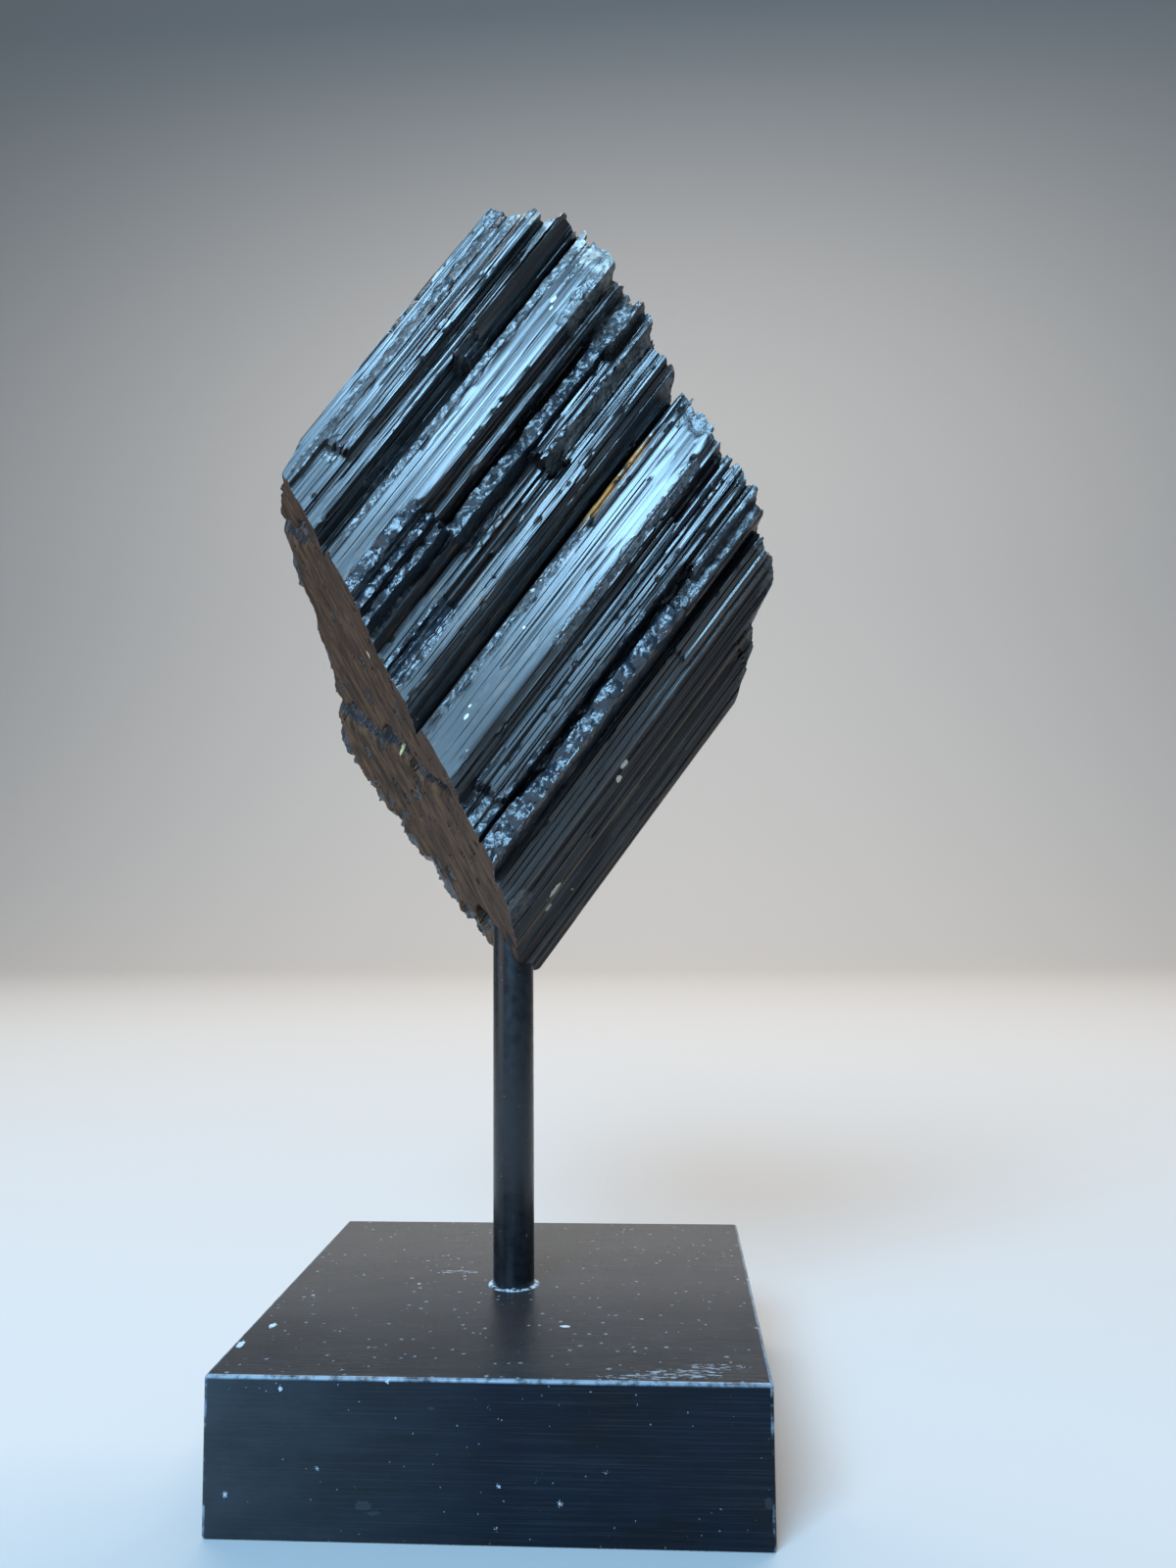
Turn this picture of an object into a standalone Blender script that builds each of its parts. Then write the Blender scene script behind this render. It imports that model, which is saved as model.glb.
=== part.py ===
# A black tourmaline specimen on a display stand: one chunk of striated columns, sawn off
# obliquely at its lower left, on a round rod in a square block.
import math

import bmesh
import bpy
from mathutils import Matrix, Vector, noise

MM = 0.001  # the sizes and places below are in millimetres

# Block base
BASE_SIDE = 90.0
BASE_HEIGHT = 25.0
BASE_EDGE = 1.0
BASE_EDGE_STEPS = 2

# Rod, which stands in a hole in the block and carries the crystal in a drilled hole
ROD_DIAMETER = 8.0
ROD_SIDES = 48
ROD_X = -1.0
ROD_Y = 1.2
ROD_BOTTOM = 10.0
ROD_TOP = 108.0
ROD_CHAMFER = 0.6
GAP = 0.3
HOLE_RADIUS = ROD_DIAMETER / 2 + GAP
CRYSTAL_HOLE_SIDES = 24

# Crystal frame: X across the columns, Y along them, Z out of the front face
COLUMN_RISE = 53.0  # degrees from level
COLUMN_TURN = 8.0  # degrees from the front
CRYSTAL_CENTRE_Z = 165.0

# Front of the crystal as (across, out), from its upper edge to its lower edge
FRONT = (
    # top column
    (-46.7, 16.0), (-43.5, 17.5), (-39.0, 19.5), (-35.5, 21.0),
    # narrow columns under it, down to a shadowed groove
    (-34.9, 18.6), (-33.6, 18.8), (-31.3, 19.8), (-29.9, 17.0), (-28.6, 15.2),
    # broad upper column and the wall that falls from it
    (-26.3, 21.0), (-22.4, 22.2), (-18.4, 23.4), (-16.7, 23.8), (-15.8, 20.4), (-13.9, 21.0),
    # lumpy floor beside it
    (-13.4, 14.0), (-11.6, 14.2), (-9.5, 14.6),
    # middle ridges, falling to the deepest groove
    (-8.1, 18.6), (-6.5, 19.2), (-4.9, 19.6), (-3.9, 17.6), (-2.8, 16.2), (-1.9, 16.4),
    (1.2, 18.4), (3.5, 16.0), (5.5, 13.0), (5.9, 10.0),
    # broad lower column
    (8.6, 20.5), (10.5, 21.8), (14.3, 22.8), (19.0, 24.0), (20.6, 23.0),
    # striated steps
    (22.3, 20.6), (24.2, 21.6), (24.5, 20.2), (26.9, 21.8), (28.6, 21.4),
    # lumpy ledge and its groove
    (29.1, 17.0), (31.4, 17.6), (33.9, 18.0), (35.1, 12.0),
    # lower facets, turning round to the underside
    (36.4, 14.5), (39.4, 12.5), (43.5, 5.0), (44.2, 3.6), (48.8, -5.0), (50.6, -10.0),
)

# Back of the crystal as (across, out): two broad faces that meet at its rear ridge
BACK = (
    (-48.5, -6.0), (-43.0, -11.0), (-36.0, -13.5), (-30.0, -17.6), (-24.0, -21.5), (-20.5, -25.5),
    (-16.0, -29.0), (-8.0, -28.8), (2.4, -26.3), (14.5, -24.0), (22.7, -20.7), (29.8, -18.1),
    (36.1, -14.6), (41.0, -12.8), (49.0, -13.0),
)
BACK_COLUMNS = ((13.0, 1.8, 0.35), (7.9, 1.2, 0.1), (4.3, 0.6, 0.6))  # (width, step, phase)
BACK_SWELL = 1.5  # the columns stand this far out of the faces

# Where the columns end at the top, as (across, along)
TERMINATION = (
    (-46.9, 54.9), (-42.1, 53.6), (-38.0, 56.7), (-30.0, 59.6), (-24.4, 57.8), (-20.4, 56.6),
    (-16.0, 55.4), (-12.7, 55.6), (-5.8, 52.9), (0.6, 50.2), (4.0, 48.0), (5.9, 45.5),
    (8.6, 43.0), (14.0, 40.8), (19.3, 38.6), (24.4, 37.0), (30.2, 36.0), (34.0, 35.2),
    (36.8, 31.8), (40.9, 30.2), (43.2, 28.6), (44.1, 22.4), (47.1, 19.6), (50.6, 10.5),
)
TERMINATION_LEAN = 0.10  # how much shorter the columns are, for each millimetre behind the front
TERMINATION_STEP = 2.2  # how unevenly they are broken off
TERMINATION_COLUMN = (1.6, 0.9)  # how fast that changes across them and with depth

# Sawn face: its place along the columns, its slope across them, and how it falls away
# behind the front, a little more with each millimetre
SAWN_ALONG = -33.9
SAWN_ACROSS_SLOPE = -0.464
SAWN_BEHIND_SLOPE = -0.14
SAWN_BEHIND_CURVE = -0.0052
FRONT_LEVEL = 22.0

# Lowest corner, broken off nearly square to the columns
BLUNT_ALONG = -64.0
BLUNT_FROM_ACROSS = 41.0
BLUNT_ACROSS_SLOPE = 0.31

# Chipped upper corner beside the sawn face, as (across, along)
CHIP = (
    (-46.7, -1.0), (-45.6, -4.3), (-44.6, -10.1), (-42.0, -13.2), (-39.4, -16.4), (-38.0, -19.0),
    (-37.0, -100.0),
)
CHIP_BEHIND_SLOPE = -0.9

# Stretches of the front that stand lower or higher than its outline, as
# (across from, across to, along from, along to, rise)
START = -70.0
END = 70.0
LEDGES = (
    (-41.5, -35.2, START, -4.0, -2.0),
    (-31.4, -28.4, 30.0, END, 2.8),
    (-31.4, -29.6, START, 30.0, -1.4),
    (-17.0, -15.0, START, -5.0, -1.5),
    (-13.6, -11.0, START, -5.0, 4.6),
    (-8.6, -4.4, START, 17.0, -3.2),
    (-4.2, -1.6, 17.0, 21.0, -2.4),
    (-3.2, -1.6, -15.0, -2.0, -1.6),
    (9.5, 11.0, 12.0, END, -0.9),
    (22.0, 28.8, START, -40.0, -3.0),
    (29.0, 31.6, 16.0, END, 2.6),
    (36.0, 39.6, START, 3.5, -1.0),
    (44.0, 49.0, 12.0, END, -1.5),
)

# Rough broken stretches of the front, as (across from, across to, along from, along to, height)
LUMP_SIZE = 3.2
ROUGH = (
    (-17.2, -9.0, -28.0, -5.0, 2.2),
    (-13.6, -9.0, -5.0, END, 1.8),
    (-5.5, 0.0, -34.0, -15.0, 1.2),
    (22.0, 29.0, -48.0, -38.0, 1.4),
    (29.0, 34.2, -52.0, 12.0, 1.8),
    (-30.5, -25.0, 20.0, END, 1.0),
    (-44.0, -38.0, -20.0, 50.0, 0.8),
)

# Where the sheets have a row of points along the columns, close together at the ledges
STATIONS = (
    -66, -62, -58, -54, -50, -46, -42, -39, -35, -31, -28, -25, -21, -18, -15, -12, -9, -6, -4.3, -3,
    0, 3, 4, 8, 12, 14, 16, 17.2, 20.5, 22, 26, 29.6, 30.6, 35, 40, 45, 50, 55, 60, 62,
)
DEPTH_STEPS = 6
SNAP = 0.5  # a station closer than this to a column's end is moved to the end
MERGE = 0.02

MATERIALS = {
    "painted_wood": ((0.012, 0.013, 0.015), 0.42, 0.0),
    "painted_metal": ((0.008, 0.009, 0.011), 0.36, 0.0),
    "tourmaline": ((0.010, 0.011, 0.013), 0.28, 0.0),
}


def clear_scene():
    for item in list(bpy.data.objects):
        bpy.data.objects.remove(item, do_unlink=True)


def make_material(name):
    colour, roughness, metallic = MATERIALS[name]
    material = bpy.data.materials.new(name)
    material.use_nodes = True
    shader = material.node_tree.nodes["Principled BSDF"]
    shader.inputs["Base Color"].default_value = (*colour, 1.0)
    shader.inputs["Roughness"].default_value = roughness
    shader.inputs["Metallic"].default_value = metallic
    return material


def finish_piece(name, bm, material, smooth_angle=None):
    mesh = bpy.data.meshes.new(name)
    bm.to_mesh(mesh)
    bm.free()
    if smooth_angle is not None:
        mesh.shade_smooth()
        mesh.set_sharp_from_angle(angle=math.radians(smooth_angle))
    mesh.materials.append(material)
    piece = bpy.data.objects.new(name, mesh)
    bpy.context.collection.objects.link(piece)
    return piece


def lay_flat(piece):
    # Keeps the sizes in the mesh in metres, with the object itself unscaled
    piece.data.transform(Matrix.Scale(MM, 4))


def cylinder(radius, bottom, top, sides=ROD_SIDES):
    bm = bmesh.new()
    middle = Matrix.Translation((ROD_X, ROD_Y, (bottom + top) / 2))
    bmesh.ops.create_cone(
        bm, cap_ends=True, segments=sides, radius1=radius, radius2=radius,
        depth=top - bottom, matrix=middle,
    )
    return bm


def cutter(name, radius, bottom, top, sides=ROD_SIDES):
    mesh = bpy.data.meshes.new(name)
    bm = cylinder(radius, bottom, top, sides)
    bm.to_mesh(mesh)
    bm.free()
    piece = bpy.data.objects.new(name, mesh)
    bpy.context.collection.objects.link(piece)
    piece.hide_render = True
    piece.display_type = "WIRE"
    lay_flat(piece)
    return piece


def drill(piece, tool):
    cut = piece.modifiers.new("rod hole", "BOOLEAN")
    cut.operation = "DIFFERENCE"
    cut.solver = "EXACT"
    cut.object = tool


def build_base():
    bm = bmesh.new()
    place = Matrix.Translation((0.0, 0.0, BASE_HEIGHT / 2))
    size = Matrix.Diagonal((BASE_SIDE, BASE_SIDE, BASE_HEIGHT, 1.0))
    bmesh.ops.create_cube(bm, size=1.0, matrix=place @ size)
    bmesh.ops.bevel(
        bm, geom=list(bm.edges), offset=BASE_EDGE, segments=BASE_EDGE_STEPS,
        affect="EDGES", profile=0.5,
    )
    base = finish_piece("base", bm, make_material("painted_wood"))
    lay_flat(base)
    hole = cutter("base_hole", HOLE_RADIUS, ROD_BOTTOM - GAP, ROD_TOP)
    drill(base, hole)
    return base


def build_rod():
    bm = cylinder(ROD_DIAMETER / 2, ROD_BOTTOM, ROD_TOP)
    rims = [edge for edge in bm.edges if abs(edge.verts[0].co.z - edge.verts[1].co.z) < GAP]
    bmesh.ops.bevel(bm, geom=rims, offset=ROD_CHAMFER, segments=1, affect="EDGES", profile=0.5)
    rod = finish_piece("rod", bm, make_material("painted_metal"), smooth_angle=30)
    lay_flat(rod)
    return rod


def along_line(points, x):
    # Height of a line of (x, height) points at x, level beyond its ends
    if x <= points[0][0]:
        return points[0][1]
    for (x0, y0), (x1, y1) in zip(points, points[1:]):
        if x <= x1:
            return y0 + (y1 - y0) * (x - x0) / (x1 - x0)
    return points[-1][1]


def lumps(x, y, z=0.0):
    return noise.noise(Vector((x, y, z)) / LUMP_SIZE)


def within(x, low, high):
    return low <= x <= high


def front_out(number, along):
    across, out = FRONT[number]
    for low, high, start, end, rise in LEDGES:
        if within(across, low, high) and within(along, start, end):
            out += rise
    for low, high, start, end, height in ROUGH:
        if within(across, low, high) and within(along, start, end):
            out += height * lumps(across, along)
    return out


def back_place(number):
    # The back has as many columns of points as the front, evenly spread across it
    share = number / (len(FRONT) - 1)
    across = BACK[0][0] + (BACK[-1][0] - BACK[0][0]) * share
    steps = sum(step * ((across / width + phase) % 1.0) for width, step, phase in BACK_COLUMNS)
    edge_fade = min(1.0, 5.0 * share, 5.0 * (1.0 - share))
    return across, along_line(BACK, across) - (BACK_SWELL - steps) * edge_fade


def section_place(number, depth, along):
    # Point of the cross-section: depth is 0 on the front and 1 on the back
    front = Vector((FRONT[number][0], front_out(number, along)))
    back = Vector(back_place(number))
    return front.lerp(back, depth)


def start_along(place):
    # Where a column starts: on the sawn face, the blunt lowest corner or the chipped upper one
    behind = FRONT_LEVEL - place.y
    fall = SAWN_BEHIND_SLOPE * behind + SAWN_BEHIND_CURVE * behind * abs(behind)
    sawn = SAWN_ALONG + SAWN_ACROSS_SLOPE * place.x + fall
    blunt = BLUNT_ALONG + BLUNT_ACROSS_SLOPE * max(0.0, place.x - BLUNT_FROM_ACROSS)
    chip = along_line(CHIP, place.x) + CHIP_BEHIND_SLOPE * behind
    return max(sawn, blunt, chip)


def end_along(place):
    behind = FRONT_LEVEL - place.y
    quick, slow = TERMINATION_COLUMN
    uneven = TERMINATION_STEP * lumps(place.x * quick, place.y * slow, END)
    return along_line(TERMINATION, place.x) - TERMINATION_LEAN * behind + uneven


def crystal_place(number, depth, along):
    # Moves a station beyond either end of its column back to that end
    place = section_place(number, depth, along)
    before = along < start_along(place) + SNAP
    if before or along > end_along(place) - SNAP:
        limit = start_along if before else end_along
        for _ in range(3):
            along = limit(place)
            place = section_place(number, depth, along)
    return Vector((place.x, along, place.y))


def add_sheet(bm, columns, rows, place):
    # A grid whose points are placed by their column and row numbers
    grid = bmesh.ops.create_grid(bm, x_segments=columns, y_segments=rows, size=0.5)
    for vert in grid["verts"]:
        column = round((vert.co.x + 0.5) * columns)
        row = round((vert.co.y + 0.5) * rows)
        vert.co = place(column, row)


def crystal_frame():
    rise = math.radians(COLUMN_RISE)
    turn = math.radians(COLUMN_TURN)
    along = Vector((math.cos(rise) * math.cos(turn), math.cos(rise) * math.sin(turn), math.sin(rise)))
    forward = Vector((0.0, -1.0, 0.0))
    out = (forward - forward.dot(along) * along).normalized()
    across = along.cross(out)
    frame = Matrix((across, along, out)).transposed().to_4x4()
    return Matrix.Translation((0.0, 0.0, CRYSTAL_CENTRE_Z)) @ frame


def build_crystal():
    bm = bmesh.new()
    columns = len(FRONT) - 1
    rows = len(STATIONS) - 1

    def side(number):
        return lambda depth, row: crystal_place(number, depth / DEPTH_STEPS, STATIONS[row])

    def face(depth):
        return lambda number, row: crystal_place(number, depth, STATIONS[row])

    def end(row):
        return lambda number, depth: crystal_place(number, depth / DEPTH_STEPS, STATIONS[row])

    add_sheet(bm, columns, rows, face(0.0))
    add_sheet(bm, columns, rows, face(1.0))
    add_sheet(bm, DEPTH_STEPS, rows, side(0))
    add_sheet(bm, DEPTH_STEPS, rows, side(columns))
    add_sheet(bm, columns, DEPTH_STEPS, end(0))
    add_sheet(bm, columns, DEPTH_STEPS, end(rows))
    bmesh.ops.remove_doubles(bm, verts=list(bm.verts), dist=MERGE)
    bmesh.ops.triangulate(bm, faces=list(bm.faces))
    bmesh.ops.transform(bm, matrix=crystal_frame(), verts=list(bm.verts))
    bmesh.ops.recalc_face_normals(bm, faces=list(bm.faces))
    crystal = finish_piece("crystal", bm, make_material("tourmaline"))
    lay_flat(crystal)
    hole = cutter("crystal_hole", HOLE_RADIUS, BASE_HEIGHT, ROD_TOP + GAP, sides=CRYSTAL_HOLE_SIDES)
    drill(crystal, hole)
    return crystal


clear_scene()
build_base()
build_rod()
build_crystal()
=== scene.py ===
import math

import bmesh
import bpy
import numpy as np
from mathutils import Matrix, Vector


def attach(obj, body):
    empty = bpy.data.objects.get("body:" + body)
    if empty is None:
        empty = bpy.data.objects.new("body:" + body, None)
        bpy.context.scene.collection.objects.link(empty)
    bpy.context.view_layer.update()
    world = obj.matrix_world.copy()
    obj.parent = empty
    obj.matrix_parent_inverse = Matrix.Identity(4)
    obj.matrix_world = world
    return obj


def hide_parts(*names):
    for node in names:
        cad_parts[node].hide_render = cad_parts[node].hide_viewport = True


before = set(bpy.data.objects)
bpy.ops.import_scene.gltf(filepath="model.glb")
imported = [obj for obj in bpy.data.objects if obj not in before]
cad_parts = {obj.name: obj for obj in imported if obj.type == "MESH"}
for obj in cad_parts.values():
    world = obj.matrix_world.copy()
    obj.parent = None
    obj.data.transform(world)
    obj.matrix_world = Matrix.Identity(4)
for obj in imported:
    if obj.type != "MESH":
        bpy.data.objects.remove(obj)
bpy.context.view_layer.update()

mm = 0.001
print("frame loaded")


# Camera, floor and light

view = {"place": (28.17, -240.01, 101.23), "up": 5.06, "left": 3.32, "roll": 0.41, "lens": 27.65}


def addCamera():
    data = bpy.data.cameras.new("camera")
    data.lens = view["lens"]
    data.sensor_width = 36.0
    data.clip_start = 0.01
    camera = bpy.data.objects.new("camera", data)
    bpy.context.collection.objects.link(camera)
    turn = Matrix.Rotation(math.radians(view["left"]), 4, "Z")
    tilt = Matrix.Rotation(math.radians(90.0 + view["up"]), 4, "X")
    roll = Matrix.Rotation(math.radians(-view["roll"]), 4, "Z")
    camera.matrix_world = Matrix.Translation(Vector(view["place"]) * mm) @ turn @ tilt @ roll
    bpy.context.scene.camera = camera


studio = {
    "floorTone": (0.50, 0.49, 0.48),
    "floorDepth": 1.3,
    "floorWidth": 3.0,
    "sweepRadius": 0.7,
    "sweepSteps": 18,
    "wallHeight": 1.6,
    "worldTone": (0.80, 0.90, 1.0),
    "worldPower": 0.16,
}

lights = (
    # name, place it shines on, direction from there, distance, width, height, radiance, colour
    ("window", (0.0, 0.0, 0.16), (-0.25, -0.77, 0.59), 1.1, 0.62, 0.48, 28.0, (0.36, 0.68, 1.0)),
    ("backdrop", (0.0, 1.1, 0.1), (0.0, -0.35, 1.0), 1.35, 1.6, 0.7, 7.5, (1.0, 0.90, 0.80)),
    ("above", (0.0, 0.0, 0.1), (0.25, 0.35, 1.0), 1.3, 0.8, 0.6, 1.9, (1.0, 0.90, 0.78)),
    ("left", (0.0, 0.0, 0.12), (-1.0, -0.35, 0.12), 1.1, 0.7, 0.5, 1.3, (1.0, 0.90, 0.80)),
)


def paleMaterial():
    material = bpy.data.materials.new("paleFloor")
    material.use_nodes = True
    shader = material.node_tree.nodes["Principled BSDF"]
    shader.inputs["Base Color"].default_value = (*studio["floorTone"], 1.0)
    shader.inputs["Roughness"].default_value = 0.9
    shader.inputs["Specular IOR Level"].default_value = 0.1
    return material


def addFloor():
    # One strip that runs back from the front and turns up into the wall
    bm = bmesh.new()
    half = studio["floorWidth"] / 2
    front = bm.verts.new((-half, -studio["floorDepth"], 0.0))
    back = bm.verts.new((-half, studio["floorDepth"], 0.0))
    bm.edges.new((front, back))
    turned = bmesh.ops.spin(
        bm, geom=[back], cent=(0.0, studio["floorDepth"], studio["sweepRadius"]),
        axis=(1.0, 0.0, 0.0), angle=math.radians(90.0), steps=studio["sweepSteps"],
    )
    last = [item for item in turned["geom_last"] if isinstance(item, bmesh.types.BMVert)]
    wall = bmesh.ops.extrude_vert_indiv(bm, verts=last)
    bmesh.ops.translate(bm, verts=wall["verts"], vec=(0.0, 0.0, studio["wallHeight"]))
    sheet = bmesh.ops.extrude_edge_only(bm, edges=list(bm.edges))
    far = [item for item in sheet["geom"] if isinstance(item, bmesh.types.BMVert)]
    bmesh.ops.translate(bm, verts=far, vec=(2 * half, 0.0, 0.0))
    bmesh.ops.recalc_face_normals(bm, faces=list(bm.faces))
    mesh = bpy.data.meshes.new("floor")
    bm.to_mesh(mesh)
    bm.free()
    mesh.shade_smooth()
    mesh.materials.append(paleMaterial())
    floor = bpy.data.objects.new("floor", mesh)
    bpy.context.collection.objects.link(floor)


def addLights():
    for name, aim, direction, distance, width, height, radiance, colour in lights:
        data = bpy.data.lights.new(name, "AREA")
        data.shape = "RECTANGLE"
        data.size = width
        data.size_y = height
        data.energy = radiance * math.pi * width * height
        data.color = colour
        light = bpy.data.objects.new(name, data)
        bpy.context.collection.objects.link(light)
        toLight = Vector(direction).normalized()
        turn = toLight.to_track_quat("Z", "Y").to_matrix().to_4x4()
        light.matrix_world = Matrix.Translation(Vector(aim) + toLight * distance) @ turn
    world = bpy.data.worlds.new("studio")
    world.use_nodes = True
    sky = world.node_tree.nodes["Background"]
    sky.inputs["Color"].default_value = (*studio["worldTone"], 1.0)
    sky.inputs["Strength"].default_value = studio["worldPower"]
    bpy.context.scene.world = world
    bpy.context.scene.view_settings.view_transform = "Standard"


addCamera()
addFloor()
addLights()
print("camera, floor and lights placed")


# Node helpers and the effects that several finishes share

def addNode(tree, kind, settings=None, **inputs):
    node = tree.nodes.new(kind)
    for name, value in (settings or {}).items():
        setattr(node, name, value)
    for name, value in inputs.items():
        socket = node.inputs[int(name[1:])] if name[0] == "i" and name[1:].isdigit() else node.inputs[name]
        if isinstance(value, bpy.types.NodeSocket):
            tree.links.new(value, socket)
        else:
            socket.default_value = value
    return node


def numbered(values):
    # Inputs by number, for nodes whose inputs share one name
    return {f"i{place}": value for place, value in enumerate(values)}


def mathNode(tree, operation, *values):
    return addNode(tree, "ShaderNodeMath", {"operation": operation}, **numbered(values)).outputs[0]


def vectorNode(tree, operation, *values, output=0):
    node = addNode(tree, "ShaderNodeVectorMath", {"operation": operation}, **numbered(values))
    return node.outputs[output]


def scaledVector(tree, vector, share):
    return addNode(tree, "ShaderNodeVectorMath", {"operation": "SCALE"}, i0=vector, Scale=share).outputs[0]


def joined(tree, operation, values):
    total = values[0]
    for value in values[1:]:
        total = mathNode(tree, operation, total, value)
    return total


def allOf(tree, *masks):
    return joined(tree, "MULTIPLY", masks)


def anyOf(tree, *masks):
    return joined(tree, "MAXIMUM", masks)


def rangeNode(tree, value, low, high, toLow=0.0, toHigh=1.0):
    inputs = {"Value": value, "From Min": low, "From Max": high, "To Min": toLow, "To Max": toHigh}
    return addNode(tree, "ShaderNodeMapRange", {"clamp": True}, **inputs).outputs[0]


def mixColour(tree, share, first, second):
    pair = [value if isinstance(value, bpy.types.NodeSocket) else (*value, 1.0) for value in (first, second)]
    return addNode(tree, "ShaderNodeMix", {"data_type": "RGBA"}, i0=share, i6=pair[0], i7=pair[1]).outputs[2]


def mixValue(tree, share, first, second):
    return addNode(tree, "ShaderNodeMix", i0=share, i2=first, i3=second).outputs[0]


def stretched(tree, place, across, along, out):
    # The place in millimetres, scaled differently along each of its three directions
    return vectorNode(tree, "MULTIPLY", place, (across, along, out))


def noiseNode(tree, place, scale, detail, roughness=0.5):
    inputs = {"Vector": place, "Scale": scale, "Detail": detail, "Roughness": roughness}
    return addNode(tree, "ShaderNodeTexNoise", **inputs).outputs["Fac"]


def cellsNode(tree, place, scale):
    return addNode(tree, "ShaderNodeTexVoronoi", {"feature": "F1"}, Vector=place, Scale=scale).outputs


def separated(tree, vector):
    return addNode(tree, "ShaderNodeSeparateXYZ", i0=vector).outputs


def attributeNode(tree, name, output="Fac"):
    return addNode(tree, "ShaderNodeAttribute", {"attribute_name": name}).outputs[output]


def blotches(tree, place, scales, low, high):
    return rangeNode(tree, noiseNode(tree, stretched(tree, place, *scales), 1.0, 5.0, 0.65), low, high)


def stretchMask(tree, value, low, high, soft):
    rise = rangeNode(tree, value, low - soft, low + soft)
    fall = rangeNode(tree, value, high - soft, high + soft, 1.0, 0.0)
    return allOf(tree, rise, fall)


def spots(tree, first, second, ragged, places):
    # Round marks with ragged outlines
    marks = []
    for x, y, reachX, reachY in places:
        squares = []
        for value, centre, reach in ((first, x, reachX), (second, y, reachY)):
            away = mathNode(tree, "DIVIDE", mathNode(tree, "SUBTRACT", value, centre), reach)
            squares.append(allOf(tree, away, away))
        marks.append(mathNode(tree, "LESS_THAN", allOf(tree, mathNode(tree, "ADD", *squares), ragged), 1.0))
    return anyOf(tree, *marks)


def connect(tree, node, values):
    for name, value in values.items():
        tree.links.new(value, node.inputs[name])


def newGroup(name, inputs, outputs):
    group = bpy.data.node_groups.new(name, "ShaderNodeTree")
    for label, kind, value in inputs:
        socket = group.interface.new_socket(label, in_out="INPUT", socket_type="NodeSocket" + kind)
        if value is not None:
            socket.default_value = value
    for label, kind in outputs:
        group.interface.new_socket(label, in_out="OUTPUT", socket_type="NodeSocket" + kind)
    return group, group.nodes.new("NodeGroupInput"), group.nodes.new("NodeGroupOutput")


def striationGroup():
    # Long narrow faces side by side: their height, a slow change of tone, and which way each leans
    outputs = [("Height", "Float"), ("Tone", "Float"), ("Lean", "Float")]
    group, into, out = newGroup("striation", [("Place", "Vector", None)], outputs)
    place = into.outputs["Place"]
    thin = noiseNode(group, stretched(group, place, 2.6, 0.02, 2.6), 1.0, 2.0, 0.6)
    wide = noiseNode(group, stretched(group, place, 0.55, 0.014, 0.55), 1.0, 2.0, 0.6)
    leans = []
    for across, along, amount in ((0.8, 0.013, 1.0), (2.3, 0.035, 0.7)):
        faces = cellsNode(group, stretched(group, place, across, along, across), 1.0)
        pick = addNode(group, "ShaderNodeSeparateColor", i0=faces["Color"]).outputs[0]
        leans.append(rangeNode(group, pick, 0.0, 1.0, -amount, amount))
    height = mathNode(group, "ADD", rangeNode(group, thin, 0.36, 0.64), wide)
    connect(group, out, {"Height": height, "Tone": wide, "Lean": mathNode(group, "ADD", *leans)})
    return group


def brokenGroup():
    # Small crystalline chips: their height and random lean
    inputs = [("Place", "Vector", None), ("Size", "Float", 1.0)]
    group, into, out = newGroup("brokenSurface", inputs, [("Height", "Float"), ("Lean", "Color")])
    place = into.outputs["Place"]
    bend = addNode(group, "ShaderNodeTexNoise", Vector=place, Scale=1.4, Detail=2.0).outputs["Color"]
    shifted = vectorNode(group, "MULTIPLY_ADD", bend, (0.9, 0.9, 0.9), place)
    chips = cellsNode(group, shifted, mathNode(group, "DIVIDE", 1.0, into.outputs["Size"]))
    grit = noiseNode(group, place, 1.1, 4.0, 0.65)
    height = mathNode(group, "MULTIPLY_ADD", grit, 1.6, chips["Distance"])
    connect(group, out, {"Height": height, "Lean": chips["Color"]})
    return group


def specksGroup():
    # Scattered specks: Amount is the share of cells that hold one
    inputs = [("Place", "Vector", None), ("Spacing", "Float", 3.0), ("Radius", "Float", 0.2),
              ("Amount", "Float", 0.2)]
    group, into, out = newGroup("specks", inputs, [("Mask", "Float")])
    place, spacing = into.outputs["Place"], into.outputs["Spacing"]
    cells = cellsNode(group, place, mathNode(group, "DIVIDE", 1.0, spacing))
    chosen = addNode(group, "ShaderNodeSeparateColor", i0=cells["Color"]).outputs
    held = mathNode(group, "LESS_THAN", chosen[0], into.outputs["Amount"])
    reach = mathNode(group, "DIVIDE", allOf(group, into.outputs["Radius"], chosen[1]), spacing)
    ragged = rangeNode(group, noiseNode(group, place, 4.0, 1.0), 0.3, 0.7, 0.6, 1.8)
    near = mathNode(group, "LESS_THAN", allOf(group, cells["Distance"], ragged), reach)
    connect(group, out, {"Mask": allOf(group, held, near)})
    return group


striation = striationGroup()
brokenSurface = brokenGroup()
specks = specksGroup()


def useGroup(tree, group, **inputs):
    return addNode(tree, "ShaderNodeGroup", {"node_tree": group}, **inputs).outputs


def specked(tree, place, spacing, radius, amount):
    return useGroup(tree, specks, Place=place, Spacing=spacing, Radius=radius, Amount=amount)["Mask"]


def newMaterial(name):
    material = bpy.data.materials.new(name)
    material.use_nodes = True
    tree = material.node_tree
    return material, tree, tree.nodes["Principled BSDF"]


def objectPlace(tree):
    # Object coordinates in millimetres
    return scaledVector(tree, addNode(tree, "ShaderNodeTexCoord").outputs["Object"], 1.0 / mm)


def bumpNormal(tree, height, distance, normal=None):
    bump = addNode(tree, "ShaderNodeBump", Height=height, Distance=distance)
    if normal is not None:
        tree.links.new(normal, bump.inputs["Normal"])
    return bump.outputs[0]


print("shared effects built")


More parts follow.
